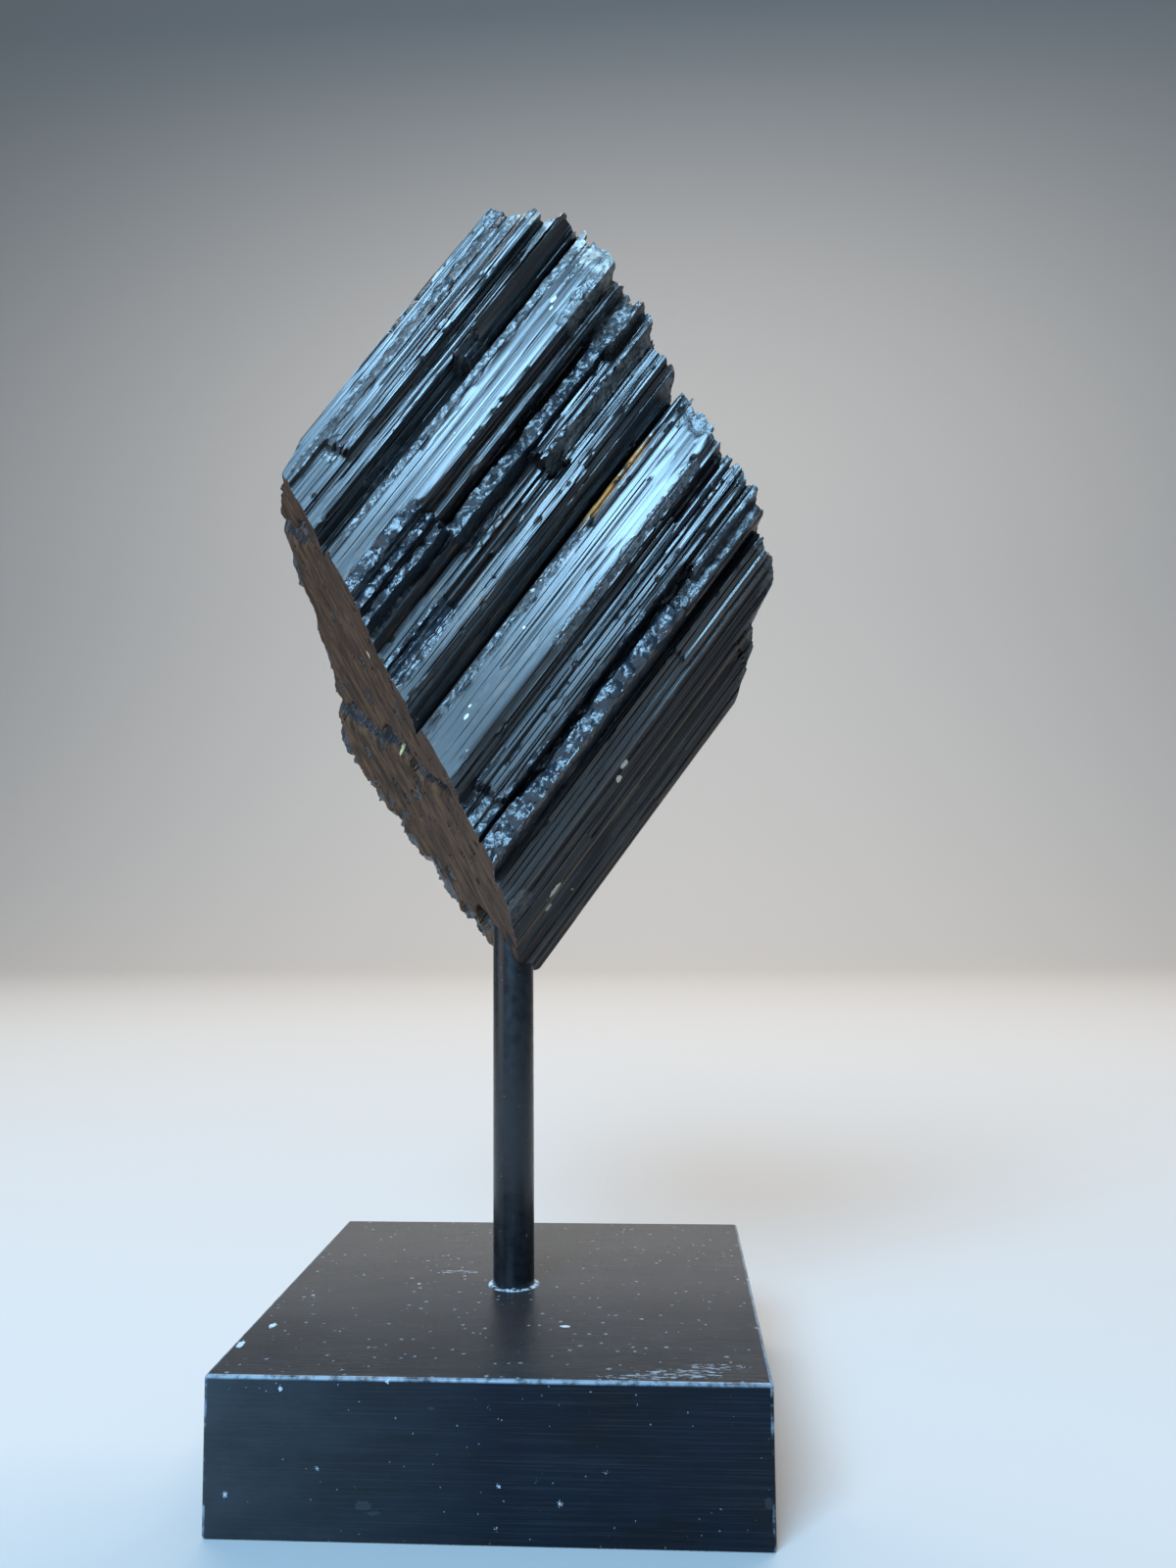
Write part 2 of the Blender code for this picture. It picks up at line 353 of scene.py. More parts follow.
# Random shapes for the crystal's surface, the same on every run

randomTable = np.random.default_rng(41).uniform(-1.0, 1.0, (512, 512))


def chance(i, j, seed):
    # Repeatable value from -1 to 1 for each cell
    i, j = np.asarray(i), np.asarray(j)
    return randomTable[(i * 7 + j * 3 + seed * 131) % 512, (j * 13 + i + seed * 57) % 512]


def softNoise(x, y, seed):
    i, j = np.floor(x).astype(int), np.floor(y).astype(int)
    a, b = x - i, y - j
    a, b = a * a * (3 - 2 * a), b * b * (3 - 2 * b)
    low = chance(i, j, seed) * (1 - a) + chance(i + 1, j, seed) * a
    high = chance(i, j + 1, seed) * (1 - a) + chance(i + 1, j + 1, seed) * a
    return low * (1 - b) + high * b


def strips(x, along, width, length, seed, step, slope):
    # Flat strips side by side, each tilted its own way and stepping up or down along its length
    x = x / width + 0.35 * softNoise(x / (2.7 * width), 0.0 * x, seed + 3)
    k = np.floor(x).astype(int)
    j = np.floor(along / length + 4.0 * chance(k, 0, seed)).astype(int)
    return step * chance(k, j, seed + 2) + slope * width * chance(k, j, seed + 1) * (x - k - 0.5)


def layered(x, along, layers):
    return sum(strips(x, along, *layer) for layer in layers)


def scoops(x, y, size, seed):
    # Broken surface of shell-like hollows with sharp ridges between them, from about -1 to 1
    x, y = x / size, y / size
    i, j = np.floor(x).astype(int), np.floor(y).astype(int)
    lowest = np.full(np.shape(x), 9.0)
    for di in (-1, 0, 1):
        for dj in (-1, 0, 1):
            ci, cj = i + di, j + dj
            away = x - ci - 0.5 - 0.45 * chance(ci, cj, seed)
            beside = y - cj - 0.5 - 0.45 * chance(ci, cj, seed + 1)
            tilt = chance(ci, cj, seed + 2) * away + chance(ci, cj, seed + 3) * beside
            hollow = 0.5 * chance(ci, cj, seed + 4) + tilt + 0.9 * (away * away + beside * beside)
            lowest = np.minimum(lowest, hollow)
    return lowest


def between(x, low, high, soft):
    # 1 inside a stretch, 0 outside it
    rise = 1.0 / (1.0 + np.exp(np.clip((low - x) / soft, -60, 60)))
    fall = 1.0 / (1.0 + np.exp(np.clip((x - high) / soft, -60, 60)))
    return rise * fall


# Crystal. Its own directions are across the columns, along them and out of the front face,
# all in millimetres.

crystal = {
    "rise": 53.0,
    "turn": 8.0,
    "centreHeight": 165.0,
    "acrossStep": 0.33,
    "alongStep": 0.5,
    "depthSteps": 56,
    "triangles": 196000,
    "merge": 0.004,
    "snap": 0.2,
    "start": -68.0,
    "end": 64.0,
    "front": (
        # top column
        (-46.7, 16.0), (-45.9, 16.9), (-43.5, 17.5), (-42.0, 18.6), (-39.0, 19.5), (-37.0, 20.7),
        (-35.5, 21.0),
        # narrow columns under it, down to a shadowed groove
        (-34.9, 18.6), (-33.6, 18.8), (-31.3, 19.8), (-30.6, 18.6), (-29.9, 17.0), (-29.2, 16.6),
        (-28.6, 15.2),
        # broad upper column and the wall that falls from it
        (-26.3, 21.0), (-24.2, 21.8), (-18.4, 23.4), (-16.7, 23.8), (-15.8, 20.4), (-13.9, 21.0),
        # lumpy floor beside it
        (-13.4, 14.0), (-11.6, 14.2), (-9.5, 14.6),
        # middle ridges, falling to the deepest groove
        (-8.1, 18.6), (-6.5, 19.2), (-4.9, 19.6), (-3.9, 17.6), (-2.8, 16.2), (-1.9, 16.8),
        (1.2, 17.8), (2.2, 17.5), (3.5, 16.0), (5.5, 13.0), (5.9, 10.0),
        # broad lower column
        (8.6, 20.5), (10.5, 21.8), (14.3, 22.8), (19.0, 24.0), (20.6, 23.0),
        # striated steps
        (22.3, 20.6), (22.7, 21.2), (24.2, 21.6), (24.4, 20.2), (24.9, 21.2), (26.9, 21.8), (27.1, 21.0),
        (28.8, 21.4),
        # lumpy ledge and its groove
        (29.1, 17.0), (31.4, 17.6), (33.9, 18.0), (35.1, 12.0), (35.6, 11.6),
        # lower facets, turning round to the underside
        (36.4, 14.5), (39.4, 12.5), (43.5, 5.0), (44.2, 3.6), (48.8, -5.0), (50.6, -10.0),
    ),
    "back": (
        (-48.5, -6.0), (-43.0, -11.0), (-36.0, -13.5), (-30.0, -17.6), (-24.0, -21.5), (-20.5, -25.5),
        (-16.0, -29.0), (-8.0, -28.8), (2.4, -26.3), (14.5, -24.0), (22.7, -20.7), (29.8, -18.1),
        (36.1, -14.6), (41.0, -12.8), (49.0, -13.0),
    ),
    "backColumns": ((13.0, 1.6, 0.35), (7.9, 1.0, 0.1), (4.3, 0.5, 0.6)),  # width, step, phase
    "backSwell": 1.3,
    "lumps": ((0.60, 3.4, 21), (0.20, 1.6, 31)),  # height, size, seed
    # fine strips: width, length, seed, step, slope
    "frontStrips": ((2.3, 75.0, 51, 0.10, 0.22), (1.0, 45.0, 61, 0.06, 0.26), (0.5, 28.0, 71, 0.03, 0.20)),
    "backStrips": ((2.3, 60.0, 101, 0.14, 0.24), (0.9, 33.0, 111, 0.06, 0.22)),
    "sideStrips": ((2.4, 47.0, 151, 0.25, 0.3), (0.9, 31.0, 161, 0.08, 0.3)),
    "sideWidth": 24.0,
    "termination": (
        (-46.9, 54.9), (-42.1, 53.6), (-38.0, 56.7), (-30.0, 59.6), (-24.4, 57.8), (-20.4, 56.6),
        (-16.0, 55.4), (-12.7, 55.6), (-5.8, 52.9), (0.6, 50.2), (4.0, 48.0), (5.9, 45.5),
        (8.6, 43.0), (14.0, 40.8), (19.3, 38.6), (24.4, 37.0), (30.2, 36.0), (34.0, 35.2),
        (36.8, 31.8), (40.9, 30.2), (43.2, 28.6), (44.1, 22.4), (47.1, 19.6), (50.6, 10.5),
    ),
    "terminationLean": 0.10,
    "crumblingLength": 0.9,
    "sawn": (-33.9, -0.464, -0.14, -0.0052),  # place, slope across, slope and curve behind the front
    "frontLevel": 22.0,
    "blunt": (-64.0, 41.0, 0.31),  # lowest corner: place, where it starts, slope
    "chip": (
        (-46.7, -1.0), (-45.6, -4.3), (-44.6, -10.1), (-42.0, -13.2), (-39.4, -16.4), (-38.0, -19.0),
        (-37.0, -100.0),
    ),
    "chipBehind": -0.9,
}
anywhere = 90.0  # beyond either end of the columns

# Stretches of the front that stand lower or higher: across from, to, along from, to, rise
ledges = (
    (-41.5, -35.2, -anywhere, -4.0, -1.6),
    (-31.4, -27.7, 24.0, anywhere, 4.0),
    (-31.4, -29.6, -anywhere, 30.0, -1.2),
    (-16.2, -13.6, -anywhere, -5.0, 1.6),
    (-13.6, -11.2, -anywhere, -5.0, 7.0),
    (-11.2, -9.0, -anywhere, -5.0, 3.0),
    (-12.6, -8.9, -5.0, 12.0, 4.2),
    (-12.4, -8.9, 12.0, 42.0, 3.8),
    (-13.6, -7.4, 42.0, anywhere, 3.8),
    (-8.6, -4.2, -anywhere, 17.0, -3.2),
    (-4.3, -3.4, -anywhere, 16.6, -1.0),
    (-3.4, -1.4, -anywhere, 16.6, 0.5),
    (-4.2, -1.4, 16.6, 21.0, -2.4),
    (-2.6, -1.6, -15.0, -2.0, -2.2),
    (9.3, 11.0, 12.0, anywhere, -0.9),
    (13.6, 14.6, -20.0, 25.0, -0.25),
    (21.0, 23.0, 22.0, 36.0, -1.3),
    (22.0, 28.9, -anywhere, -40.0, -2.6),
    (29.5, 34.4, -anywhere, 9.0, 2.2),
    (29.0, 31.6, 16.0, anywhere, 2.6),
    (29.0, 30.4, -38.0, 14.0, -1.6),
    (36.0, 39.9, -anywhere, 3.2, -0.8),
    (44.0, 49.5, 14.0, anywhere, -1.5),
)

# Rough broken stretches of the front: across from, to, along from, to, height of the lumps, and
# how much of it is pale crumbs
roughPatches = (
    (-19.4, -10.0, -29.0, -5.5, 1.7, 0.0),
    (-13.4, -6.8, -5.0, 10.0, 1.5, 0.2),
    (-13.3, -8.6, 8.0, 42.0, 2.1, 0.1),
    (-13.6, -7.6, 42.0, anywhere, 1.8, 0.5),
    (-5.5, -0.4, -36.0, -15.5, 1.0, 0.0),
    (22.0, 29.0, -50.0, -39.0, 1.1, 0.1),
    (28.6, 34.8, -54.0, 10.0, 1.9, 0.0),
    (30.8, 34.0, 11.0, anywhere, 1.0, 0.1),
    (-30.6, -26.4, 23.0, 29.0, 1.2, 0.5),
    (-27.0, -24.6, 28.0, anywhere, 0.8, 0.8),
    (-26.4, -24.5, -16.0, 27.0, 0.6, 0.7),
    (-43.6, -41.4, -12.0, 50.0, 0.6, 0.7),
    (-40.6, -36.6, -7.0, -2.6, 1.2, 0.3),
    (-30.6, -28.6, -6.0, 4.0, 0.9, 0.4),
    (-19.0, -15.6, 40.0, anywhere, 1.0, 1.0),
    (-4.8, -3.2, 15.0, anywhere, 0.7, 0.8),
    (8.6, 10.4, -34.0, 8.0, 0.6, 0.7),
    (18.9, 20.5, -12.0, 32.0, 0.5, 0.6),
    (12.0, 17.0, 37.5, anywhere, 0.8, 0.6),
    (39.6, 43.0, -58.0, -50.0, 1.0, 0.2),
)

# Thin slits between columns: across, half width, depth, along from, to
slits = (
    (-41.2, 0.22, 0.5, -4.0, 52.0), (-38.7, 0.16, 0.35, -3.0, 56.0), (-37.6, 0.14, 0.25, 2.0, 50.0),
    (-36.4, 0.2, 0.45, -2.0, 57.0), (-34.1, 0.2, 0.5, -12.0, 48.0), (-32.3, 0.16, 0.4, -18.0, 40.0),
    (-30.9, 0.2, 0.6, -20.0, 56.0), (-27.6, 0.25, 0.8, -24.0, 30.0), (-24.6, 0.18, 0.45, -22.0, 44.0),
    (-22.9, 0.13, 0.22, -24.0, 12.0), (-21.4, 0.13, 0.22, -20.0, 34.0), (-19.6, 0.12, 0.18, -12.0, 50.0),
    (-17.3, 0.14, 0.3, 4.0, 56.0), (-14.9, 0.16, 0.4, -2.0, 55.0), (-7.3, 0.18, 0.5, 12.0, 50.0),
    (-6.0, 0.16, 0.4, -30.0, 50.0), (-3.3, 0.2, 0.6, -36.0, 44.0), (-1.7, 0.25, 1.0, -22.0, 6.0),
    (-0.6, 0.14, 0.35, -33.0, 49.0), (0.7, 0.14, 0.35, -34.0, 48.0), (2.1, 0.2, 0.7, -30.0, 47.0),
    (3.2, 0.16, 0.5, -34.0, 46.0), (4.6, 0.16, 0.4, -34.0, 45.0), (6.9, 0.2, 0.5, -38.0, 40.0),
    (9.6, 0.16, 0.4, -36.0, 10.0), (11.5, 0.12, 0.22, -20.0, 42.0), (12.9, 0.14, 0.32, -34.0, 40.0),
    (13.7, 0.12, 0.25, -10.0, 30.0), (15.5, 0.12, 0.2, -40.0, 4.0), (17.2, 0.12, 0.16, -42.0, 8.0),
    (19.4, 0.2, 0.6, -42.0, 26.0), (20.8, 0.25, 1.1, -46.0, 30.0), (21.6, 0.16, 0.5, -46.0, 36.0),
    (22.5, 0.25, 1.3, -40.0, 26.0), (23.5, 0.16, 0.6, -38.0, 30.0), (24.5, 0.25, 1.1, -44.0, 37.0),
    (25.7, 0.16, 0.6, -40.0, 34.0), (26.9, 0.22, 1.0, -44.0, 36.0), (28.0, 0.16, 0.5, -38.0, 34.0),
    (30.3, 0.2, 0.6, 14.0, 36.0), (35.9, 0.25, 1.3, -60.0, 32.0), (37.4, 0.16, 0.5, -56.0, 32.0),
    (38.4, 0.14, 0.35, -56.0, 3.0), (39.9, 0.18, 0.5, -58.0, 30.0), (41.4, 0.14, 0.3, -56.0, 28.0),
    (42.8, 0.2, 0.5, -60.0, 26.0), (44.6, 0.2, 0.6, -62.0, 22.0), (46.2, 0.14, 0.3, -60.0, 20.0),
    (47.9, 0.2, 0.5, -62.0, 18.0), (49.6, 0.16, 0.4, -60.0, 14.0),
)

# Columns with a smooth face: across from, to, and how much of the fine relief they keep
smoothFaces = ((-24.3, -16.9, 0.22), (10.4, 18.9, 0.25), (-36.6, -35.4, 0.3), (4.8, 8.8, 0.5))


def evenRun(corners, step):
    # Even points along an outline, with a point on each of its corners
    points = []
    for first, second in zip(corners, corners[1:]):
        first, second = np.array(first), np.array(second)
        count = max(1, round(float(np.linalg.norm(second - first)) / step))
        points += [first + (second - first) * k / count for k in range(count)]
    return np.array(points + [np.array(corners[-1])])


def frontOutline():
    # The front's outline in even steps, with points added on both sides of each slit
    run = evenRun(crystal["front"], crystal["acrossStep"])
    length = np.concatenate(([0.0], np.cumsum(np.linalg.norm(np.diff(run, axis=0), axis=1))))
    places = list(length)
    for across, width, *_ in slits:
        centre = float(np.interp(across, run[:, 0], length))
        near = [centre + width * share for share in (-1.0, -0.55, 0.0, 0.55, 1.0)]
        places = [place for place in places if abs(place - centre) > 1.2 * width] + near
    places = np.sort(places)
    return np.stack((np.interp(places, length, run[:, 0]), np.interp(places, length, run[:, 1])), axis=1)


frontRun = frontOutline()
frontSlope = np.gradient(frontRun, axis=0)
frontSlope /= np.linalg.norm(frontSlope, axis=1)[:, None]
frontNormal = np.stack((-frontSlope[:, 1], frontSlope[:, 0]), axis=1)
frontLength = np.concatenate(([0.0], np.cumsum(np.linalg.norm(np.diff(frontRun, axis=0), axis=1))))
lastColumn = len(frontRun) - 1
stations = np.arange(crystal["start"], crystal["end"], crystal["alongStep"])


def brokenShare(across, along):
    # How rough the front is, from 0 on smooth columns to 1 on broken patches, with the height
    # of its lumps and its share of pale crumbs
    wavy = across + 0.5 * softNoise(along / 2.1, across / 1.7, 11)
    late = along + 1.3 * softNoise(across / 0.9, along / 9.0, 12)
    share, height, crumbs = (np.zeros(np.shape(across)) for _ in range(3))
    for low, high, start, end, tall, light in roughPatches:
        mask = between(wavy, low, high, 0.16) * between(late, start, end, 0.35)
        height = np.maximum(height, mask * tall)
        crumbs = np.maximum(crumbs, mask * light)
        share = np.maximum(share, mask)
    return share, height, crumbs


def frontPlace(number, along):
    across, out = frontRun[number].T
    length = frontLength[number]
    uneven = along + 0.9 * chance(np.floor(length / 0.7).astype(int), 3, 5)
    for low, high, start, end, rise in ledges:
        out = out + rise * between(across, low, high, 0.07) * between(uneven, start, end, 0.12)
    share, height, _ = brokenShare(across, along)
    lumps = 0.10 * softNoise(length / 0.5, along / 0.6, 41)
    for tall, size, seed in crystal["lumps"]:
        lumps = lumps - tall * scoops(length, along, size, seed)
    push = layered(length, along, crystal["frontStrips"]) * lined[number]
    push = push + 0.10 * softNoise(length / 9.0, along / 34.0, 81)
    push = push * (1.0 - share) + height * (lumps - 0.2) * np.abs(frontNormal[number, 1])
    chipped = softNoise(along / 1.3, length / 2.0, 91) + 0.6 * softNoise(along / 4.0, length, 92)
    push = push - 1.1 * np.clip(chipped - 0.55, 0, 1) * cornerShare[number]
    push = push - slitDepth(number, along) * (1.0 - 0.7 * share)
    return across + frontNormal[number, 0] * push, out + np.maximum(frontNormal[number, 1], 0.25) * push


def slitDepth(number, along):
    total = np.zeros(np.shape(along))
    for k, (across, width, depth, start, end) in enumerate(slits):
        near = np.abs(frontLength[number] - slitPlaces[k]) < 1.5 * width
        opening = between(along + 3.0 * chance(k, 1, 301), start, end, 0.8)
        opening = opening * np.clip(0.75 + 0.6 * softNoise(along / 5.5, 0.0 * along + k, 302), 0.0, 1.0)
        shape = np.clip(1.0 - np.abs(frontLength[number] - slitPlaces[k]) / width, 0.0, 1.0)
        total = np.where(near, np.maximum(total, depth * opening * np.minimum(1.0, 2.0 * shape)), total)
    return total


def cornerMask():
    # 1 on the outline's convex ridges, fading within half a millimetre
    turn = np.zeros(len(frontRun))
    angles = np.unwrap(np.arctan2(frontSlope[:, 1], frontSlope[:, 0]))
    turn[1:-1] = angles[:-2] - angles[2:]
    ridges = [k for k in range(1, lastColumn) if turn[k] > 0.3]
    mask = np.zeros(len(frontRun))
    for k in ridges:
        mask = np.maximum(mask, np.exp(-((frontLength - frontLength[k]) / 0.35) ** 2))
    return mask


cornerShare = cornerMask()
slitPlaces = np.interp([slit[0] for slit in slits], frontRun[:, 0], frontLength)
lined = np.ones(len(frontRun))
for low, high, kept in smoothFaces:
    lined = np.where((frontRun[:, 0] > low) & (frontRun[:, 0] < high), kept, lined)


def backPlace(number, along):
    back = np.array(crystal["back"])
    share = number / lastColumn
    across = back[0, 0] + (back[-1, 0] - back[0, 0]) * share
    out = np.interp(across, back[:, 0], back[:, 1])
    steps = sum(step * ((across / width + phase) % 1.0) for width, step, phase in crystal["backColumns"])
    fade = np.clip(5.0 * np.minimum(share, 1.0 - share), 0, 1)
    fine = layered(across, along, crystal["backStrips"])
    patch = between(softNoise(across / 9.0, along / 13.0, 121), 0.28, 2.0, 0.05)
    rough = 0.9 * scoops(across, along, 3.6, 131) + 0.4 * scoops(across, along, 1.6, 141)
    out = out - (crystal["backSwell"] - steps) * fade - fine * (1 - patch) - (rough - 0.8) * patch * fade
    return across, out, patch * fade


def sectionPlace(number, depth, along):
    # Point of the cross-section: depth is 0 on the front and 1 on the back
    frontAcross, frontOut = frontPlace(number, along)
    backAcross, backOut, _ = backPlace(number, along)
    side = np.where(number == lastColumn, 1.0, 0.0) - np.where(number == 0, 1.0, 0.0)
    wall = layered(depth * crystal["sideWidth"], along, crystal["sideStrips"])
    wall = wall * side * 4.0 * depth * (1.0 - depth)
    across = frontAcross + (backAcross - frontAcross) * depth + wall
    return across, frontOut + (backOut - frontOut) * depth


# Marks on the sawn face, as (across, out) places on it
sawnMarks = {
    "crack": (
        (-23.5, -26.0), (-18.0, -21.5), (-13.0, -17.2), (-8.5, -14.1), (-5.2, -12.0), (-2.4, -7.0),
        (1.3, -4.2), (4.6, -1.0), (7.4, -1.6), (9.8, 0.6), (14.4, 6.1), (18.4, 12.5),
    ),
    "recess": ((-49.0, -6.0), (-44.5, -1.5), (-40.9, 1.4), (-38.4, 6.0), (-36.4, 12.0)),
    "hole": (36.4, -8.4),
    "holeRadius": 2.4,
    "rim": 2.6,
    "pits": 130,
    "depths": {"crack": 2.8, "recess": 1.5, "hole": 7.0, "rim": 0.8, "pits": 0.7},
}


def lineDistance(x, y, line):
    # Distance to a line of points, and on which side of it a place lies
    nearest = np.full(np.shape(x), 1e3)
    side = np.zeros(np.shape(x))
    for (x0, y0), (x1, y1) in zip(line, line[1:]):
        dx, dy = x1 - x0, y1 - y0
        share = np.clip(((x - x0) * dx + (y - y0) * dy) / (dx * dx + dy * dy), 0, 1)
        away = np.hypot(x - x0 - share * dx, y - y0 - share * dy)
        side = np.where(away < nearest, np.sign((x - x0) * dy - (y - y0) * dx), side)
        nearest = np.minimum(nearest, away)
    return nearest, side


def sawnRelief(across, out):
    # Height of the sawn face over its smooth surface, and how rough it is there
    wavyAcross = across + 0.5 * softNoise(out / 1.6, across / 2.0, 171)
    crack, side = lineDistance(wavyAcross, out, sawnMarks["crack"])
    width = 1.5 + 0.8 * softNoise(across / 2.6, out / 2.6, 172)
    gap = np.exp(-(crack / width) ** 4)
    step = 0.55 * between(side * crack, 0.0, 60.0, 0.3) * between(across, -30.0, 6.0, 2.0)
    recess, _ = lineDistance(wavyAcross, out, sawnMarks["recess"])
    notch = np.exp(-(recess / (1.5 + 0.5 * softNoise(across / 3.0, out / 3.0, 173))) ** 4)
    holeAcross, holeOut = sawnMarks["hole"]
    fromHole = np.hypot((across - holeAcross) * 0.8, out - holeOut)
    hole = np.exp(-(fromHole / sawnMarks["holeRadius"]) ** 8)
    back = np.array(crystal["back"])
    inside = out - np.interp(across, back[:, 0], back[:, 1])
    reach = sawnMarks["rim"] * (1.0 + softNoise(across / 3.0, out / 2.0, 174))
    rim = between(inside, -anywhere, reach, 0.2)
    rough = np.maximum.reduce((gap, notch, hole, rim))
    broken = scoops(across, out, 2.0, 181) * 0.7
    depths = sawnMarks["depths"]
    deep = depths["crack"] * gap + depths["recess"] * notch + depths["hole"] * hole + depths["rim"] * rim
    pits = np.zeros(np.shape(across))
    for k in range(sawnMarks["pits"]):
        pitAcross = 2.0 + 46.0 * chance(k, 1, 191)
        pitOut = -4.0 + 27.0 * chance(k, 2, 192)
        size = 0.30 + 0.55 * abs(chance(k, 3, 193)) ** 2
        pits = np.maximum(pits, np.exp(-(np.hypot((across - pitAcross) * 0.5, out - pitOut) / size) ** 4))
    fine = 0.12 * softNoise(across / 6.0, out / 0.9, 201) + 0.06 * softNoise(across / 0.7, out / 0.7, 202)
    return step + fine - deep - depths["pits"] * pits + rough * broken, np.maximum(rough, pits)


def sawnPlane(across, out):
    # The sawn face before its relief
    place, slope, fall, curve = crystal["sawn"]
    behind = crystal["frontLevel"] - out
    return place + slope * across + fall * behind + curve * behind * np.abs(behind)


def startAlong(across, out):
    # Where the columns start: on the sawn face, the blunt lowest corner or the chipped upper one
    behind = crystal["frontLevel"] - out
    sawn = sawnPlane(across, out) - sawnRelief(across, out)[0]
    place, first, slope = crystal["blunt"]
    blunt = place + slope * np.maximum(0.0, across - first) + 0.7 * scoops(across, out, 2.4, 211)
    chip = np.array(crystal["chip"])
    chip = np.interp(across, chip[:, 0], chip[:, 1]) + crystal["chipBehind"] * behind
    chip = chip + 0.9 * scoops(across, out, 3.0, 221)
    return np.maximum.reduce((sawn, blunt, chip))


def endLine(across, out):
    # The upper end before its relief
    ends = np.array(crystal["termination"])
    behind = crystal["frontLevel"] - out
    return np.interp(across, ends[:, 0], ends[:, 1]) - crystal["terminationLean"] * behind


def endAlong(across, out):
    cell = np.floor(across / 2.3).astype(int)
    row = np.floor(out / 5.0 + chance(cell, 9, 230)).astype(int)
    steps = 0.95 * chance(cell, row, 231) + 0.2 * chance(
        np.floor(across / 1.1).astype(int), np.floor(out / 1.8).astype(int), 232)
    return endLine(across, out) + steps + 0.8 * scoops(across, out, 2.6, 241) + 0.3 * scoops(across, out, 1.1, 251)


def columnEnds(number, depth):
    # The points where each line starts and ends, found in a few rounds because the line's own
    # relief moves it a little on the way
    lines, index = np.unique(np.stack((number, depth)), axis=1, return_inverse=True)
    number, depth = lines[0].astype(int), lines[1]
    points = []
    for limit, first in ((startAlong, crystal["start"]), (endAlong, crystal["end"])):
        along = np.full(np.shape(number), first * 0.5)
        for _ in range(5):
            across, out = sectionPlace(number, depth, along)
            along = limit(across, out)
        points.append(np.stack((across, along, out), axis=1)[index.ravel()])
    return points


def crystalPlace(number, depth, along):
    # Stations beyond either end of their line are moved back to that end
    start, end = columnEnds(number, depth)
    across, out = sectionPlace(number, depth, along)
    points = np.stack((across, along, out), axis=1)
    points = np.where((along < start[:, 1] + crystal["snap"])[:, None], start, points)
    return np.where((along > end[:, 1] - crystal["snap"])[:, None], end, points)


def pointsOf(mesh):
    flat = np.empty(len(mesh.vertices) * 3, np.float32)
    mesh.vertices.foreach_get("co", flat)
    return flat.reshape(-1, 3)


def sheetMesh(columns, rows, place, marks):
    # A grid whose points are placed by their column and row numbers, with its finish marked
    bm = bmesh.new()
    bmesh.ops.create_grid(bm, x_segments=columns, y_segments=rows, size=0.5)
    mesh = bpy.data.meshes.new("sheet")
    bm.to_mesh(mesh)
    bm.free()
    flat = pointsOf(mesh)
    column = np.rint((flat[:, 0] + 0.5) * columns).astype(int)
    row = np.rint((flat[:, 1] + 0.5) * rows).astype(int)
    points = place(column, row)
    mesh.vertices.foreach_set("co", points.astype(np.float32).ravel())
    for name, mark in zip(("broken", "crumbs", "sawn"), marks):
        layer = mesh.attributes.new(name, "FLOAT", "POINT")
        layer.data.foreach_set("value", mark(column, points).astype(np.float32))
    return mesh


def crystalFrame():
    rise, turn = math.radians(crystal["rise"]), math.radians(crystal["turn"])
    along = Vector((math.cos(rise) * math.cos(turn), math.cos(rise) * math.sin(turn), math.sin(rise)))
    forward = Vector((0.0, -1.0, 0.0))
    out = (forward - forward.dot(along) * along).normalized()
    frameTurn = Matrix((along.cross(out), along, out)).transposed().to_4x4()
    return Matrix.Translation((0.0, 0.0, crystal["centreHeight"])) @ frameTurn


acrossColumns = tuple(crystalFrame().col[0].xyz)


def endMarks(points):
    # The columns crumble over the last millimetres before their ends
    across, along, out = points.T
    uneven = along + 1.5 * softNoise(across / 1.5, out / 2.0, 261)
    return between(uneven, endLine(across, out) - crystal["crumblingLength"], anywhere, 0.35)


def dropDoubled(bm):
    # Two triangles on the same three points enclose nothing, so both go
    together = {}
    for face in bm.faces:
        together.setdefault(frozenset(face.verts), []).append(face)
    doubled = [face for faces in together.values() if len(faces) > 1 for face in faces]
    bmesh.ops.delete(bm, geom=doubled, context="FACES")


